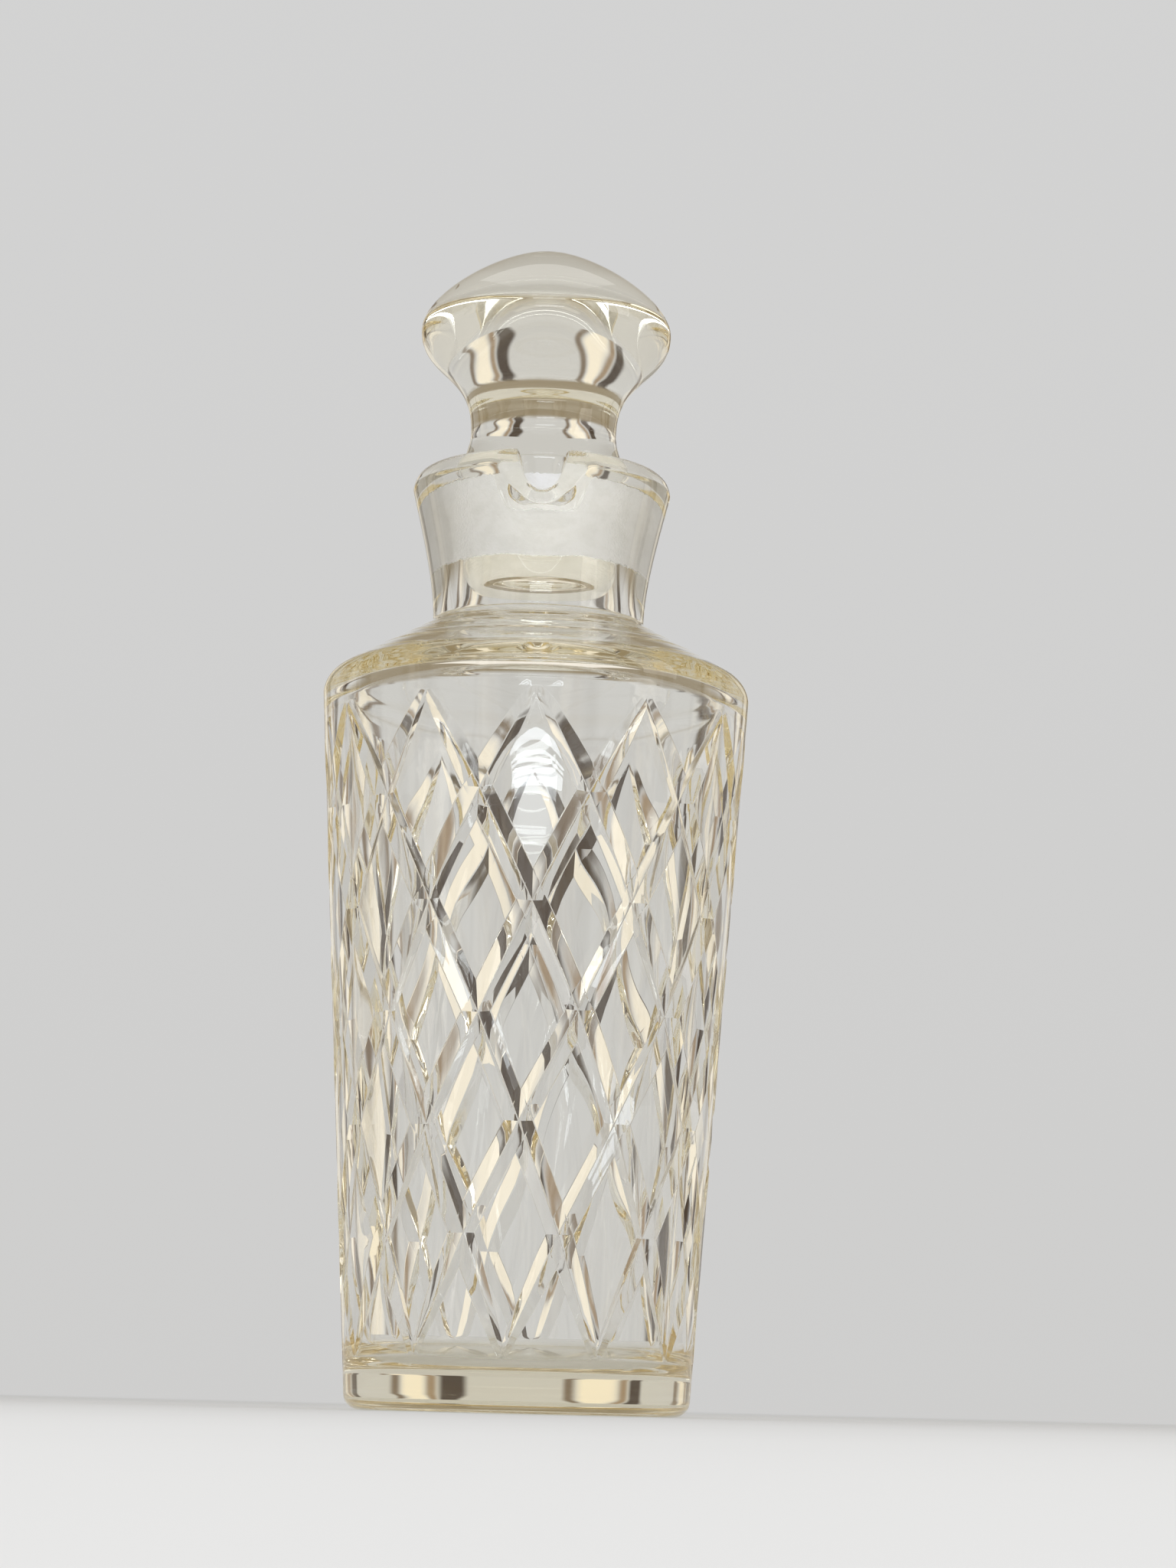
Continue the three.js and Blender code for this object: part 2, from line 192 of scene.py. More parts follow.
GRIT_NOISE = (2200, 2)
GRIT_HEIGHT = 0.08

# Studio, in metres, watts and degrees. Elevations are given by their sines.
BACKDROP = (0.62, 0.617, 0.61, 1)
SKY = (0.66, 0.66, 0.66, 1)
SKY_RISE = (-0.1, 0.6)  # elevations between which the backdrop turns into the sky
SOFT_LIGHT = (0.5, 0.5, 0.5, 1)  # what reaches matt surfaces from all round
FLOOR_HALF = 4  # half the length of the floor's sides
FLOOR_SINK = 0.05 * MM  # the floor lies this far below the base
FLOOR_TONES = [(0.79, 0.785, 0.775, 1), (0.82, 0.815, 0.805, 1)]
FLOOR_NOISE = (6, 4)
FLOOR_ROUGHNESS = 0.75
FLOOR_FADE = (0.3, 1.6)  # distances between which the floor takes on the backdrop's tone
UNREST_NOISE = (4, 0)  # keeps the sides of the ceiling and of the cards from being straight
UNREST_LIMITS = (0.2, 0.8)
CEILING = (0.31, 0.255, 0.17, 1)
CEILING_START = (0.38, 0.58)  # elevations between which the ceiling starts
CEILING_UNREST = 0.1
CARD_TURN = 45  # from one set of cards to the next
CARD_UNREST = 0.09  # in radians
CARDS = [
    # start, end and softness of the sides, tone
    (9.5, 20, 3, (0.07, 0.05, 0.037, 1)),
    (18.5, 25, 3, (0.36, 0.265, 0.175, 1)),
    (23, 32, 3, (1.0, 0.92, 0.77, 1)),
    (30.5, 36, 2.5, (0.22, 0.17, 0.125, 1)),
]
STRIP_AIM = (0, 0, 0.14)
STRIP_COLOUR = (0.86, 0.93, 1.0)
STRIP_WIDTH = 0.81
STRIP_SIDE = 0.05  # the strips stand this far to the right
STRIPS = [
    # height, distance in front, thickness, brightness
    (0.172, 1.70, 0.040, 1.5),
    (0.199, 1.70, 0.013, 8),
    (0.2095, 1.70, 0.003, 8),
    (0.2145, 1.70, 0.003, 8),
    (0.227, 1.70, 0.009, 8),
    (0.72, 1.60, 0.030, 6),
    (0.78, 1.60, 0.060, 6),
    (1.12, 1.35, 0.020, 6),
    (1.16, 1.35, 0.020, 6),
]
SOFT_LAMPS = [
    # name, place, aim, width, height, power, colour, whether the glass mirrors it
    ("front_light", (-0.3, -1.5, 0.75), (0, 0, 0.14), 0.95, 0.5, 10, (0.97, 0.98, 1), False),
    ("side_light", (1.5, -0.6, 0.9), (0, 0, 0.1), 0.7, 1.2, 4, (1, 0.98, 0.95), True),
    ("top_light", (0, 0.3, 1.9), (0, 0, 0), 1.4, 1.4, 4, (1, 1, 1), True),
]
BOUNCES = 64  # light is led round inside the wall of the glass many times
TRANSMISSION_BOUNCES = 32
TRANSPARENT_BOUNCES = 24


def add_camera():
    """Places the camera as the photograph's stood."""
    pitch, pan, roll = (math.radians(a) for a in (CAMERA_PITCH, CAMERA_PAN, CAMERA_ROLL))
    forward = Vector((math.sin(pan) * math.cos(pitch), math.cos(pan) * math.cos(pitch), math.sin(pitch)))
    level_right = Vector((math.cos(pan), -math.sin(pan), 0))
    level_up = level_right.cross(forward)
    right = math.cos(roll) * level_right + math.sin(roll) * level_up
    up = math.cos(roll) * level_up - math.sin(roll) * level_right
    data = bpy.data.cameras.new("camera")
    data.lens = CAMERA_LENS
    data.sensor_width = PICTURE_SIDE
    data.clip_start = 0.01
    camera = bpy.data.objects.new("camera", data)
    place = Matrix((right, up, -forward)).transposed().to_4x4()
    place.translation = (0, -CAMERA_DISTANCE, CAMERA_HEIGHT)
    camera.matrix_world = place
    bpy.context.scene.collection.objects.link(camera)
    bpy.context.scene.camera = camera


add_camera()

# Radii and heights that follow from the sizes
wall_taper = (SHOULDER_RADIUS - FOOT_RADIUS) / (SHOULDER_HEIGHT - FOOT_ROUND)
slope = math.radians(SHOULDER_SLOPE)
shoulder_turn = 90 - SHOULDER_SLOPE
turn_radius = SHOULDER_RADIUS - SHOULDER_ROUND
slope_start = turn_radius + SHOULDER_ROUND * math.sin(slope)
slope_foot = SHOULDER_HEIGHT + SHOULDER_ROUND * math.cos(slope)


def wall_radius(z):
    return FOOT_RADIUS + (z - FOOT_ROUND) * wall_taper


def slope_height(r):
    return slope_foot + (slope_start - r) * math.tan(slope)


throat_radius = BORE_RADIUS - BORE_TAPER
neck_radius = throat_radius + NECK_WALL
collar_radius = BORE_RADIUS + COLLAR_WALL
rim_height = slope_height(neck_radius) + COLLAR_HEIGHT
bore_top = rim_height - MOUTH_DEPTH
bore_bottom = bore_top - BORE_LENGTH


def bore_radius(z):
    return BORE_RADIUS - (bore_top - z) * (BORE_TAPER / BORE_LENGTH)


def arc(centre, height, radius, from_degrees, to_degrees, steps):
    """Points of an outline along an arc of a circle, as pairs of radius and height."""
    angles = np.radians(np.linspace(from_degrees, to_degrees, steps + 1))
    return [(centre + radius * math.cos(a), height + radius * math.sin(a)) for a in angles]


def curve(start, end, bend, steps):
    """Points of an outline along a cubic curve from start to end, without the start itself."""
    start, end = np.array(start, float), np.array(end, float)
    first, second = (start + (end - start) * np.array(share) for share in bend)
    points = []
    for t in np.linspace(0, 1, steps + 1)[1:]:
        s = 1 - t
        points.append(tuple(s**3 * start + 3 * s * s * t * first + 3 * s * t * t * second + t**3 * end))
    return points


def line(start, end, steps):
    """Points of an outline along a straight line, without the start itself."""
    return [tuple(np.array(start) + (np.array(end) - np.array(start)) * t)
            for t in np.linspace(0, 1, steps + 1)[1:]]


def smooth(x):
    """x held between 0 and 1, with a gentle start and end."""
    x = np.clip(x, 0, 1)
    return x * x * (3 - 2 * x)


# Grid lines of the lattice. A cut runs along every line whose number is a multiple of
# lines_per_cut; the lines beside it follow its bottom, its faces and its rounded edges.
pitch_angle = 2 * math.pi / CUTS
cut_top = SHOULDER_HEIGHT - TOP_MARGIN
row_pitch = (cut_top - TOP_TIP - FOOT_TIP - FOOT_MARGIN) / (CUT_ROWS - 2)
half_pitch = wall_radius((cut_top + FOOT_MARGIN) / 2) * pitch_angle / 2
cut_spacing = 2 * half_pitch * row_pitch / math.hypot(half_pitch, row_pitch)
cut_half = CUT_WIDTH / 2 / cut_spacing

cut_shares = np.array([0, CUT_EDGE, 0.5, 1 - CUT_EDGE, 1, 1 + CUT_EDGE])
cut_profile = np.array([1 - CUT_EDGE / 2, 1 - CUT_EDGE, 0.5, CUT_EDGE, CUT_EDGE / 4, 0])
cut_lines = cut_shares * cut_half
across_diamond = np.linspace(cut_lines[-1], 1 - cut_lines[-1], DIAMOND_LINES + 2)[1:-1]
line_offsets = np.concatenate([cut_lines, across_diamond, 1 - cut_lines[:0:-1]])
lines_per_cut = len(line_offsets)
columns = CUTS * lines_per_cut
levels = CUT_ROWS * lines_per_cut
hand_shifts = {hand: rng.uniform(-HAND_SHIFT, HAND_SHIFT, CUTS) for hand in ("left", "right")}


def line_position(number):
    """Place of a grid line, counted in cuts."""
    return number // lines_per_cut + line_offsets[number % lines_per_cut]


def row_height(row):
    """Height of a place in the lattice, counted in rows down from the upper tips."""
    upper = cut_top - row * TOP_TIP
    middle = cut_top - TOP_TIP - (row - 1) * row_pitch
    lower = FOOT_MARGIN + (CUT_ROWS - row) * FOOT_TIP
    return np.where(row < 1, upper, np.where(row <= CUT_ROWS - 1, middle, lower))


def drift(row):
    """Turn of the lower half of the lattice against the upper half, which grows with the row."""
    return math.radians(FOOT_DRIFT) * np.clip(2 * row / CUT_ROWS - 1, 0, 1)


def cut_fullness(row):
    """How much of the full width and depth a cut has: it runs out to nothing at both tips."""
    from_tip = np.clip(np.minimum(np.abs(row), np.abs(CUT_ROWS - row)), 0, 1)
    return 1 - (1 - from_tip) ** 2


def narrowed(place, other):
    """Draws the lines beside a cut in towards it where the cut is narrower."""
    cut = np.round(place)
    off = place - cut
    share = LEAST_WIDTH + (1 - LEAST_WIDTH) * cut_fullness(cut + other)
    edge = cut_lines[-1]
    beyond = edge * share + (np.abs(off) - edge) * (0.5 - edge * share) / (0.5 - edge)
    moved = np.where(np.abs(off) <= edge, np.abs(off) * share, beyond)
    return cut + np.sign(off) * moved


def shifted(place, hand):
    """Sets each cut a little off its even place, and what lies between two cuts with them."""
    shifts = hand_shifts[hand]
    cut = np.floor(place).astype(int)
    part = smooth(place - cut)
    return place + shifts[cut % CUTS] * (1 - part) + shifts[(cut + 1) % CUTS] * part


def cut_depth(place):
    """Depth of the cuts of one hand at a grid line, as a share of the full depth."""
    return np.interp(np.abs(place - np.round(place)), cut_lines, cut_profile)


def around(angle, r, z):
    """Points round the axis. The angle 0 lies at -Y, where the lip is."""
    return np.stack([r * np.sin(angle), -r * np.cos(angle), z + 0 * angle], axis=-1)


def lattice_ring(level):
    """The ring of points where the lines of both hands cross at one level of the lattice."""
    left = np.arange(columns) + math.ceil(level / 2)
    right = level - left
    left, right = line_position(left), line_position(right)
    along, across = narrowed(left, right), narrowed(right, left)
    along, across = shifted(along, "left"), shifted(across, "right")
    least = TIP_STEP * min(level, levels - level)
    row = np.clip(along + across, least, CUT_ROWS - least) if least > 0 else level / lines_per_cut
    z = row_height(row)
    depth = CUT_DEPTH * cut_fullness(row) * np.maximum(cut_depth(left), cut_depth(right))
    angle = (along - across) * pitch_angle / 2 + drift(row)
    return around(angle, wall_radius(z) - depth, z)


def lipped(angle, r, z, inward):
    """Draws the rim out and down at the lip; inward is 1 inside the mouth, where the channel lies."""
    def between(outside, inside, share):
        return outside + (inside - outside) * share

    over_crown = smooth((collar_radius - r) / CROWN_INSET) if inward > 0 else 0
    half_angle = between(LIP_WIDTH, CHANNEL_WIDTH, over_crown) / 2 / collar_radius
    fullness = between(LIP_FULLNESS, CHANNEL_FULLNESS, over_crown)
    steepness = between(LIP_STEEPNESS, CHANNEL_STEEPNESS, over_crown)
    length = between(LIP_LENGTH, CHANNEL_LENGTH, inward)
    from_front = np.abs(np.arctan2(np.sin(angle), np.cos(angle)))
    share = np.minimum(1, from_front / half_angle)
    across = np.maximum(0, np.cos(math.pi / 2 * share**fullness)) ** steepness
    pull = across * smooth((z - rim_height + length) / length)
    return around(angle, r + pull * between(LIP_REACH, CHANNEL_REACH, inward), z - pull * LIP_DIP)


even_angles = np.linspace(0, 2 * math.pi, SMOOTH_COLUMNS, endpoint=False)
smooth_angles = even_angles - GATHER * np.sin(even_angles)
wall_waves = [(count, rng.uniform(0, 2 * math.pi), rng.uniform(-1, 1)) for count in WAVE_COUNTS]


def ring_rise(r):
    """Height of the low turned rings on the slope of the shoulder, round the foot of the neck."""
    return RING_RISE * sum(math.exp(-((r - ring) / RING_WIDTH) ** 2) for ring in TURNED_RINGS)


def waved(angle, r, z):
    """The inside of the wall, which is a little uneven as blown glass is."""
    above_floor = z - FLOOR - FLOOR_ROUND
    below_shoulder = SHOULDER_HEIGHT - SHOULDER_WALL - z
    share = smooth(above_floor / WAVE_FADE) * smooth(below_shoulder / WAVE_FADE)
    waves = 0
    for count, start, twist in wall_waves:
        height = math.sqrt(WAVE_COUNTS[0] / count)
        waves = waves + height * np.cos(count * angle + start + twist * z / WAVE_TWIST)
    return around(angle, r + WALL_WAVE * share * waves, z)


class RingSkin:
    """A closed skin made of rings of points, each joined to the one before it."""

    def __init__(self):
        self.rings = []
        self.size = 0
        self.faces = []
        self.sharp = set()
        self.last = None

    def add(self, points):
        points = np.atleast_2d(points)
        self.rings.append(points)
        self.size += len(points)
        return np.arange(self.size - len(points), self.size)

    def ring(self, points, join=True):
        ring = self.add(points)
        if join and self.last is not None:
            self.join(self.last, ring)
        self.last = ring
        return ring

    def pole(self, z):
        self.ring([(0, 0, z)])

    def join(self, start, end):
        """Joins rings of as many points with quads, and others with triangles."""
        if len(start) == len(end):
            following = zip(np.roll(start, -1), np.roll(end, -1))
            self.faces += [(a, c, d, b) for a, b, (c, d) in zip(start, end, following)]
            return
        start_turn, end_turn = self.turn(start), self.turn(end)
        start_steps, end_steps = (len(ring) if len(ring) > 1 else 0 for ring in (start, end))
        i = j = 0
        while i < start_steps or j < end_steps:
            here, there = start[i % len(start)], end[j % len(end)]
            if j == end_steps or (i < start_steps and start_turn[i + 1] <= end_turn[j + 1]):
                i += 1
                self.faces.append((here, start[i % len(start)], there))
            else:
                j += 1
                self.faces.append((here, end[j % len(end)], there))

    def turn(self, ring):
        """Angles of a ring's points round the axis, and the first again a full turn later."""
        x, y, _ = np.concatenate(self.rings)[ring].T
        angles = np.unwrap(np.arctan2(x, -y))
        return np.append(angles, angles[0] + 2 * math.pi)

    def object(self, name, material):
        mesh = bpy.data.meshes.new(name)
        points = np.concatenate(self.rings) * MM
        mesh.from_pydata(points.tolist(), [], [tuple(int(i) for i in f) for f in self.faces])
        mesh.polygons.foreach_set("use_smooth", np.ones(len(mesh.polygons), bool))
        if self.sharp:
            marks = mesh.attributes.new("sharp_edge", "BOOLEAN", "EDGE")
            marks.data.foreach_set("value", [tuple(sorted(e.vertices)) in self.sharp for e in mesh.edges])
        mesh.materials.append(material)
        mesh.update()
        piece = bpy.data.objects.new(name, mesh)
        bpy.context.scene.collection.objects.link(piece)
        normals = piece.modifiers.new("normals", "WEIGHTED_NORMAL")
        normals.keep_sharp = True
        return piece


def add_lattice(skin, lower_ring, upper_ring):
    """Fills the wall between the ring at the lower tips and the ring at the upper tips."""
    rings = {0: upper_ring, levels: lower_ring}
    for level in range(1, levels):
        rings[level] = skin.add(lattice_ring(level))

    def vertex(u, v):
        level = u + v
        return int(rings[level][(u - math.ceil(level / 2)) % columns])

    def step_of(number):
        """Where the strip between a line and the next lies, counted from its cut, or None."""
        within = number % lines_per_cut
        steps = len(cut_shares) - 1
        if within < steps:
            return within + 1
        return within - lines_per_cut if within >= lines_per_cut - steps else None

    for level in range(-1, levels):
        for column in range(columns):
            u = column + math.ceil(level / 2)
            v = level - u
            left, right = vertex(u, v + 1), vertex(u + 1, v)
            if level < 0:
                skin.faces.append((left, vertex(u + 1, v + 1), right))
                continue
            if level + 2 > levels:
                skin.faces.append((vertex(u, v), left, right))
                continue
            top, bottom = vertex(u, v), vertex(u + 1, v + 1)
            steps = step_of(u), step_of(v)
            if None in steps or abs(steps[0]) != abs(steps[1]):
                skin.faces.append((top, left, bottom, right))
            elif steps[0] == steps[1]:
                # Two cuts meet on a ridge that stands upright here
                skin.faces += [(top, left, bottom), (top, bottom, right)]
                skin.sharp.add(tuple(sorted((top, bottom))))
            else:
                skin.faces += [(top, left, right), (left, bottom, right)]
                skin.sharp.add(tuple(sorted((left, right))))


collar_widest = (collar_radius, rim_height - RIM_ROUND)


def flare_outline():
    """Outline of the collar's outside, from the fillet to its widest place."""
    start = (neck_radius, slope_height(neck_radius) + NECK_FILLET / 2)
    return [start, *curve(start, collar_widest, FLARE_BEND, FLARE_STEPS)]


def rim_outline():
    """Outline over the rim, from the collar's widest place to the upper end of the bore."""
    crown = (collar_radius - CROWN_INSET, rim_height)
    return [
        *curve(collar_widest, crown, OUTER_RIM_BEND, OUTER_RIM_STEPS),
        *curve(crown, (BORE_RADIUS, bore_top), INNER_RIM_BEND, INNER_RIM_STEPS),
    ]


def cavity_outline():
    """Outline of the inside, from the lower edge of the bore to the floor."""
    def inner_slope(r):
        return slope_height(r) - SHOULDER_WALL / math.cos(slope)

    def inner_wall(z):
        return wall_radius(z) - WALL

    throat_end = throat_radius + THROAT_FILLET
    throat_start = (throat_radius, inner_slope(throat_radius) + THROAT_FILLET)
    centre = inner_wall(SHOULDER_HEIGHT - SHOULDER_WALL) - SHOULDER_ROUND
    centre_height = inner_slope(centre) - SHOULDER_ROUND / math.cos(slope)
    floor_centre_height = FLOOR + FLOOR_ROUND
    floor_centre = inner_wall(floor_centre_height) - FLOOR_ROUND
    shoulder = arc(centre, centre_height, SHOULDER_ROUND, shoulder_turn, 0, ROUND_STEPS)
    floor = arc(floor_centre, floor_centre_height, FLOOR_ROUND, 0, -90, ROUND_STEPS)
    throat_top = (throat_radius, bore_bottom)
    fillet_end = (throat_end, inner_slope(throat_end))
    return [
        *line(throat_top, throat_start, THROAT_STEPS),
        *curve(throat_start, fillet_end, THROAT_BEND, FILLET_STEPS),
        *line(fillet_end, shoulder[0], INNER_SLOPE_STEPS),
        *shoulder[1:],
        *line(shoulder[-1], floor[0], INNER_WALL_STEPS),
        *floor[1:],
        *line(floor[-1], (0, FLOOR), BASE_STEPS)[:-1],
    ]


def bottle_skin():
    """The bottle, from the middle of its base up the outside, over the rim and down the inside."""
    skin = RingSkin()

    def ring(place):
        skin.ring(around(smooth_angles, *place))

    def collar_ring(place, inward):
        skin.ring(lipped(smooth_angles, *place, inward))

    # Base and foot, turned by the drift as the lower tips are
    foot_angles = smooth_angles + float(drift(CUT_ROWS))
    skin.pole(0)
    foot = arc(FOOT_RADIUS - FOOT_ROUND, FOOT_ROUND, FOOT_ROUND, -90, 0, ROUND_STEPS)
    base = line((0, 0), foot[0], BASE_STEPS)[:-1]
    seam = FOOT_MARGIN - TIP_GAP
    below_tips = line(foot[-1], (wall_radius(seam), seam), SEAM_STEPS)
    for place in [*base, *foot, *below_tips]:
        skin.ring(around(foot_angles, *place))

    # Cut wall
    lower_ring = skin.ring(lattice_ring(levels))
    upper_ring = skin.ring(lattice_ring(0), join=False)
    add_lattice(skin, lower_ring, upper_ring)

    # Shoulder and the hollow fillet at the foot of the neck
    seam = cut_top + TIP_GAP
    seam_place = (wall_radius(seam), seam)
    above_tips = line(seam_place, (SHOULDER_RADIUS, SHOULDER_HEIGHT), SEAM_STEPS)[:-1]
    shoulder = arc(turn_radius, SHOULDER_HEIGHT, SHOULDER_ROUND, 0, shoulder_turn, ROUND_STEPS)
    for place in [seam_place, *above_tips, *shoulder]:
        ring(place)
    slope_end = neck_radius + NECK_FILLET
    for r in np.linspace(slope_start, slope_end, SLOPE_STEPS + 1)[1:]:
        ring((r, slope_height(r) + ring_rise(r)))
    flare = flare_outline()
    for place in curve((slope_end, slope_height(slope_end)), flare[0], NECK_BEND, FILLET_STEPS)[:-1]:
        ring(place)

    # Collar, rim, ground bore and the inside
    for place in flare:
        collar_ring(place, 0)
    for r, z in rim_outline():
        collar_ring((r, z), smooth((collar_radius - r) / COLLAR_WALL))
    for _, z in line((0, bore_top), (0, bore_bottom), BORE_STEPS):
        collar_ring((bore_radius(z), z), 1)
    for place in cavity_outline():
        skin.ring(waved(smooth_angles, *place))
    skin.pole(FLOOR)
    return skin


def stopper_skin():
    """The stopper, from the lower end of its plug to the top of its dome."""
    def plug_radius(z):
        return bore_radius(z) - FIT_GAP

    plug_top = bore_top + PLUG_PROUD
    plug_bottom = bore_bottom - PLUG_LAND - PLUG_END_ROUND
    end_centre = plug_radius(bore_bottom) - PLUG_END_ROUND
    stem_foot = (plug_radius(plug_top) - STEM_STEP, plug_top + STEM_STEP)
    waist = (WAIST_RADIUS, rim_height + WAIST_RISE)
    widest = (KNOB_RADIUS, rim_height + KNOB_RISE)
    dome_top = (0, rim_height + KNOB_RISE + DOME_HEIGHT)
    end = arc(end_centre, plug_bottom + PLUG_END_ROUND, PLUG_END_ROUND, -90, 0, PLUG_END_STEPS)
    ground_start = (plug_radius(bore_bottom), bore_bottom)
    outline = [
        *line((0, plug_bottom), end[0], PLUG_FACE_STEPS),
        *end[1:],
        ground_start,
        *line(ground_start, (plug_radius(plug_top), plug_top), BORE_STEPS),
        stem_foot,
        *curve(stem_foot, waist, STEM_BEND, STEM_STEPS),
        *curve(waist, widest, KNOB_BEND, KNOB_STEPS),
        *curve(widest, dome_top, DOME_BEND, DOME_STEPS)[:-1],
    ]
    skin = RingSkin()
    angles = np.linspace(0, 2 * math.pi, STOPPER_SEGMENTS, endpoint=False)
    skin.pole(plug_bottom)
    for place in outline:
        skin.ring(around(angles, *place))
    skin.pole(dome_top[1])
    return skin


class Nodes:
    """Short ways to add the nodes of one material or world."""

    def __init__(self, tree):
        self.tree = tree
        tree.nodes.clear()

    def add(self, kind, values=None, **settings):
        node = self.tree.nodes.new("ShaderNode" + kind)
        for name, value in settings.items():
            setattr(node, name, value)
        for name, value in (values or {}).items():
            self.put(node.inputs[name], value)
        return node

    def put(self, socket, value):
        if isinstance(value, bpy.types.NodeSocket):
            self.tree.links.new(value, socket)
        else:
            socket.default_value = value

    def math(self, operation, *values):
        node = self.tree.nodes.new("ShaderNodeMath")
        node.operation = operation
        for socket, value in zip(node.inputs, values):
            self.put(socket, value)
        return node.outputs[0]

    def noise(self, place, scale, detail, roughness=0.5):
        values = {"Vector": place, "Scale": scale, "Detail": detail, "Roughness": roughness}
        return self.add("TexNoise", values).outputs["Fac"]

    def ramp(self, value, low, high, to_low=0.0, to_high=1.0, kind="SMOOTHSTEP"):
        """value brought from low..high to to_low..to_high, held beyond both ends."""
        values = {"Value": value, "From Min": low, "From Max": high, "To Min": to_low, "To Max": to_high}
        return self.add("MapRange", values, interpolation_type=kind).outputs[0]

    def mix(self, factor, a, b):
        node = self.add("Mix", data_type="RGBA")
        self.put(node.inputs[0], factor)
        self.put(node.inputs[6], a)
        self.put(node.inputs[7], b)
        return node.outputs[2]


def seen_ray(n):
    """1 for a ray by which the camera sees something straight, mirrored or through glass."""
    path = n.add("LightPath")
    bent = n.math("MAXIMUM", path.outputs["Is Glossy Ray"], path.outputs["Is Transmission Ray"])
    return n.math("MAXIMUM", path.outputs["Is Camera Ray"], bent)


def ground_zone(n, place, speckle, lip_dip):
    """1 where the glass is ground, along the bore, and 0 elsewhere. Behind the lip it ends lower."""
    x, y, z = n.add("SeparateXYZ", {"Vector": place}).outputs
    edge = GROUND_EDGE * MM
    lowest = bore_bottom * MM
    highest = (bore_top - GROUND_STOP) * MM
    ragged = n.math("MULTIPLY", n.math("SUBTRACT", speckle, 0.5), GROUND_RAGGED * MM)
    ragged_z = n.math("ADD", z, ragged)
    above = n.ramp(ragged_z, lowest - edge, lowest + edge)
    full_side, last_side = (side * MM for side in LIP_GROUND_SIDES)
    near_lip = n.ramp(n.math("ABSOLUTE", x), full_side, last_side, 1, 0)
    in_front = n.ramp(y, LIP_GROUND_BACK * MM, 0, 1, 0)
    dip = n.math("MULTIPLY", n.math("MULTIPLY", near_lip, in_front), lip_dip * MM)
    below = n.ramp(n.math("ADD", ragged_z, dip), highest - edge, highest + edge, 1, 0)
    radius = n.math("SQRT", n.math("ADD", n.math("MULTIPLY", x, x), n.math("MULTIPLY", y, y)))
    widening = n.math("MULTIPLY", n.math("SUBTRACT", z, lowest), BORE_TAPER / BORE_LENGTH)
    inner, outer = ((bore_radius(bore_bottom) + reach) * MM for reach in GROUND_REACH)
    inside = n.ramp(n.math("SUBTRACT", radius, widening), inner, outer, 1, 0)
    return n.math("MULTIPLY", n.math("MULTIPLY", above, below), inside)


def glass_material(name, density, lip_dip):
    """Clear glass with smudges, a tint that deepens inside it and a white frost where it is ground."""
    material = bpy.data.materials.new(name)
    material.use_nodes = True
    n = Nodes(material.node_tree)
    place = n.add("TexCoord").outputs["Object"]
    speckle = n.noise(place, *SPECKLE_NOISE)
    ground = ground_zone(n, place, speckle, lip_dip)

    smudged = n.ramp(n.noise(place, *SMUDGE_NOISE), *SMUDGE_LIMITS, 0, SMUDGE_ROUGHNESS)
    frosted = n.ramp(speckle, *SPECKLE_LIMITS, *FROST_ROUGHNESS)
    roughness = n.math("ADD", n.math("MULTIPLY", smudged, n.math("SUBTRACT", 1, ground)),
                       n.math("MULTIPLY", frosted, ground))
    clarity = n.ramp(ground, 0, 1, 1, FROST_CLARITY, "LINEAR")
    cloud = n.ramp(n.noise(place, *CLOUD_NOISE), *CLOUD_LIMITS)
    colour = n.mix(ground, CLEAR_TINT, n.mix(cloud, FROST_DULL, FROST_BRIGHT))

    grit = n.math("MULTIPLY", n.noise(place, *GRIT_NOISE), ground)
    grit = n.math("MULTIPLY", grit, GRIT_HEIGHT * MM)
    waviness = n.math("MULTIPLY", n.noise(place, *WAVINESS_NOISE), WAVINESS_HEIGHT * MM)
    bump = n.add("Bump", {"Height": n.math("ADD", grit, waviness), "Strength": 1.0, "Distance": 1.0})

    glass = n.add("BsdfPrincipled", {
        "Base Color": colour,
        "Roughness": roughness,
        "IOR": IOR,
        "Transmission Weight": clarity,
        "Normal": bump.outputs[0],
    })
    shade = n.add("BsdfTransparent", {"Color": SHADE_TINT})
    surface = n.add("MixShader", {"Fac": n.add("LightPath").outputs["Is Shadow Ray"]})
    n.put(surface.inputs[1], glass.outputs[0])
    n.put(surface.inputs[2], shade.outputs[0])
    volume = n.add("VolumeAbsorption", {"Color": DEPTH_TINT, "Density": density})
    n.add("OutputMaterial", {"Surface": surface.outputs[0], "Volume": volume.outputs[0]})
    return material


def floor_material():
    """Pale matt floor that turns into the backdrop's tone far from the carafe."""
    material = bpy.data.materials.new("floor")
    material.use_nodes = True
    n = Nodes(material.node_tree)
    place = n.add("TexCoord").outputs["Object"]
    colour = n.mix(n.noise(place, *FLOOR_NOISE), *FLOOR_TONES)
    floor = n.add("BsdfPrincipled", {"Base Color": colour, "Roughness": FLOOR_ROUGHNESS})
    backdrop = n.add("Emission", {"Color": BACKDROP, "Strength": 1.0})
    distance = n.add("VectorMath", {0: place}, operation="LENGTH").outputs["Value"]
    far = n.math("MULTIPLY", n.ramp(distance, *FLOOR_FADE), seen_ray(n))
    surface = n.add("MixShader", {"Fac": far})
    n.put(surface.inputs[1], floor.outputs[0])
    n.put(surface.inputs[2], backdrop.outputs[0])
    n.add("OutputMaterial", {"Surface": surface.outputs[0]})
    return material


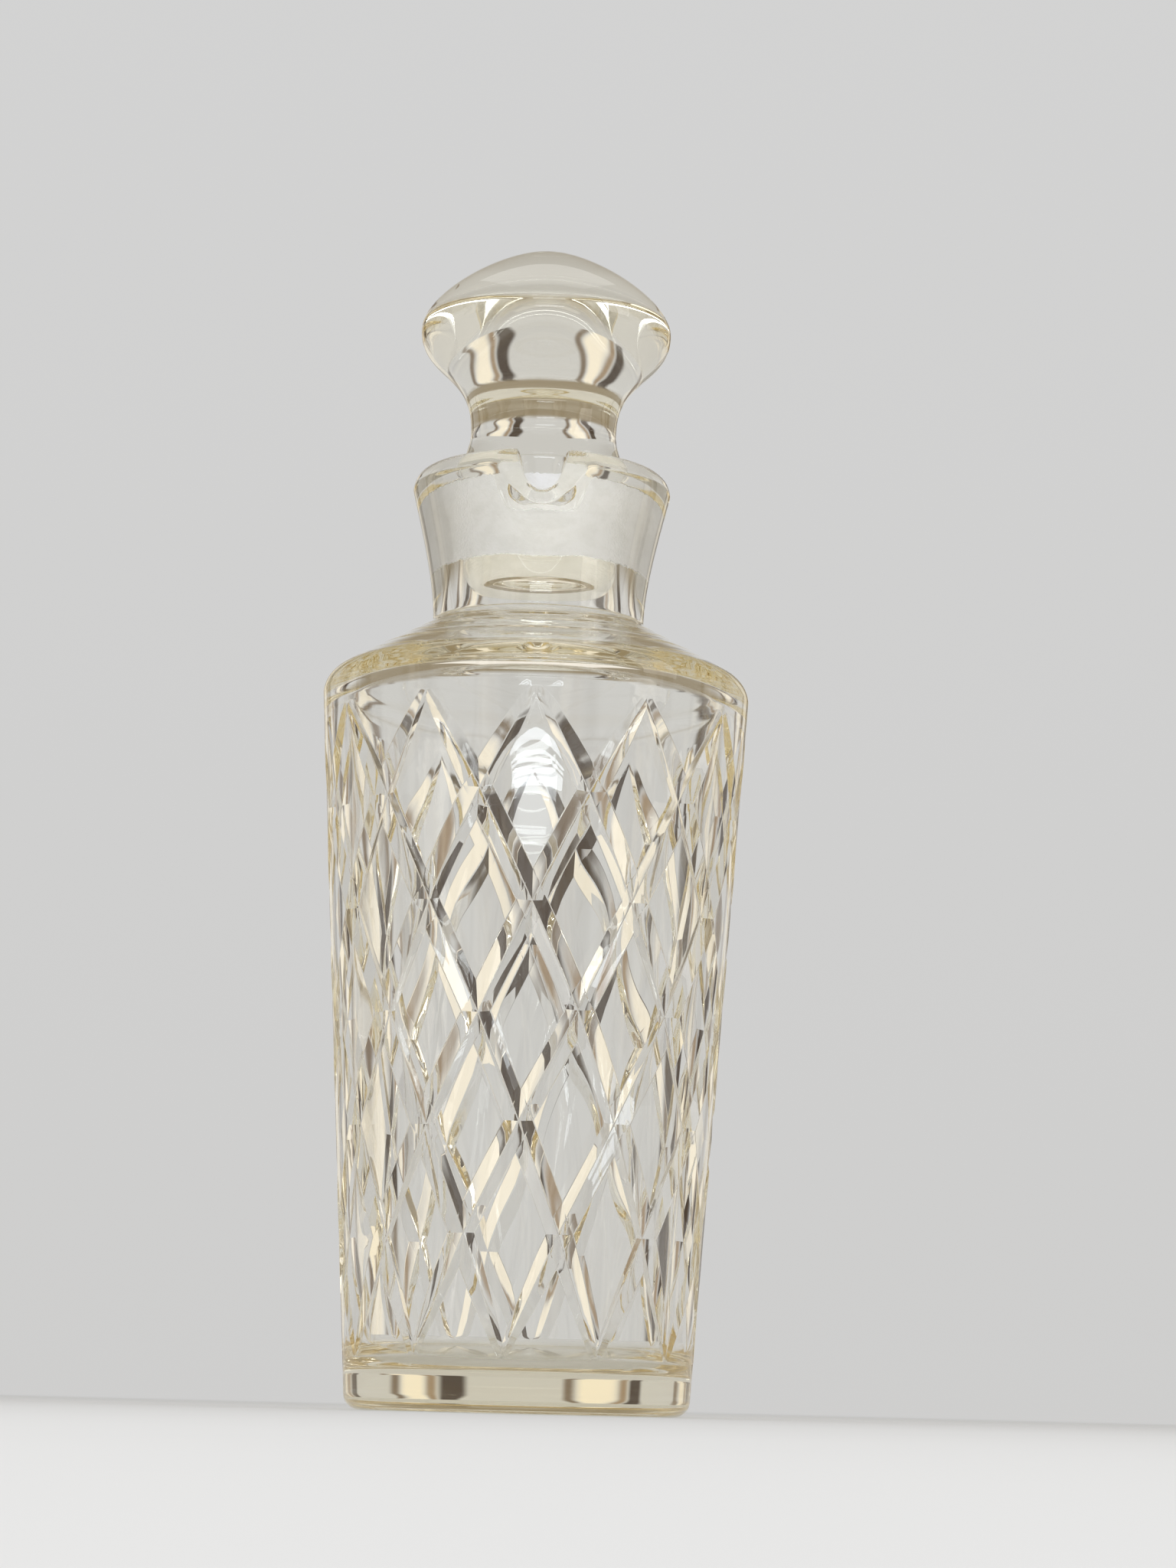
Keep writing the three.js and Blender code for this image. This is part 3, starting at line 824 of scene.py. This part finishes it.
def add_floor():
    mesh = bpy.data.meshes.new("floor")
    sides = [(-1, -1), (1, -1), (1, 1), (-1, 1)]
    mesh.from_pydata([(x * FLOOR_HALF, y * FLOOR_HALF, 0) for x, y in sides], [], [(0, 1, 2, 3)])
    mesh.materials.append(floor_material())
    floor = bpy.data.objects.new("floor", mesh)
    floor.location.z = -FLOOR_SINK
    bpy.context.scene.collection.objects.link(floor)


def add_softbox(name, place, aim, width, height, power, colour, mirrored):
    """A soft lamp aimed at a point. One that isn't mirrored lights only matt and frosted surfaces."""
    data = bpy.data.lights.new(name, "AREA")
    data.shape = "RECTANGLE"
    data.size = width
    data.size_y = height
    data.energy = power
    data.color = colour
    lamp = bpy.data.objects.new(name, data)
    lamp.location = place
    lamp.rotation_euler = (Vector(aim) - Vector(place)).to_track_quat("-Z", "Y").to_euler()
    bpy.context.scene.collection.objects.link(lamp)
    lamp.visible_camera = False
    lamp.visible_glossy = mirrored
    lamp.visible_transmission = mirrored


def add_world():
    """A pale backdrop, and what only the glass shows of the studio: a warm ceiling and sets of dark
    and cream cards, which stand at even turns all round the carafe."""
    world = bpy.data.worlds.new("studio")
    bpy.context.scene.world = world
    world.use_nodes = True
    n = Nodes(world.node_tree)
    direction = n.add("TexCoord").outputs["Generated"]
    x, y, z = n.add("SeparateXYZ", {"Vector": direction}).outputs
    unrest = n.noise(direction, *UNREST_NOISE)
    stray = n.ramp(unrest, *UNREST_LIMITS, -CARD_UNREST, CARD_UNREST, "LINEAR")
    azimuth = n.math("ADD", n.math("ARCTAN2", x, y), stray)
    within = n.math("WRAP", azimuth, math.radians(CARD_TURN), 0)

    pale = n.mix(n.ramp(z, *SKY_RISE), BACKDROP, SKY)
    mirrored = pale
    for start, end, soft, tone in CARDS:
        rise = n.ramp(within, math.radians(start), math.radians(start + soft))
        fall = n.ramp(within, math.radians(end - soft), math.radians(end), 1, 0)
        mirrored = n.mix(n.math("MULTIPLY", rise, fall), mirrored, tone)
    elevation = n.math("ADD", z, n.math("MULTIPLY", unrest, CEILING_UNREST))
    mirrored = n.mix(n.ramp(elevation, *CEILING_START), mirrored, CEILING)
    studio = n.mix(n.add("LightPath").outputs["Is Camera Ray"], mirrored, pale)
    colour = n.mix(seen_ray(n), SOFT_LIGHT, studio)
    back = n.add("Background", {"Color": colour, "Strength": 1.0})
    n.add("OutputWorld", {"Surface": back.outputs[0]})


def add_lamps():
    """Thin strips in front, which the glass mirrors as bright lines, and a few soft lamps."""
    for number, (height, distance, thickness, brightness) in enumerate(STRIPS):
        name = f"front_strip_{number}"
        place = (STRIP_SIDE, -distance, height)
        power = brightness * math.pi * STRIP_WIDTH * thickness
        add_softbox(name, place, STRIP_AIM, STRIP_WIDTH, thickness, power, STRIP_COLOUR, True)
    for lamp in SOFT_LAMPS:
        add_softbox(*lamp)


def dress(piece, body, node):
    """Lets a piece ride on its body in place of the node that it shows."""
    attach(piece, body)
    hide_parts(node)


bottle_glass = glass_material("bottle_glass", BOTTLE_DENSITY, LIP_GROUND_DIP)
stopper_glass = glass_material("stopper_glass", STOPPER_DENSITY, 0)
bottle = bottle_skin().object("bottle", bottle_glass)
stopper = stopper_skin().object("stopper_solid", stopper_glass)
dress(bottle, "bottle", "carafe_bottle")
dress(stopper, "stopper", "stopper")

add_floor()
add_world()
add_lamps()

scene = bpy.context.scene
scene.view_settings.view_transform = "Standard"
scene.cycles.max_bounces = BOUNCES
scene.cycles.glossy_bounces = BOUNCES
scene.cycles.transmission_bounces = TRANSMISSION_BOUNCES
scene.cycles.transparent_max_bounces = TRANSPARENT_BOUNCES
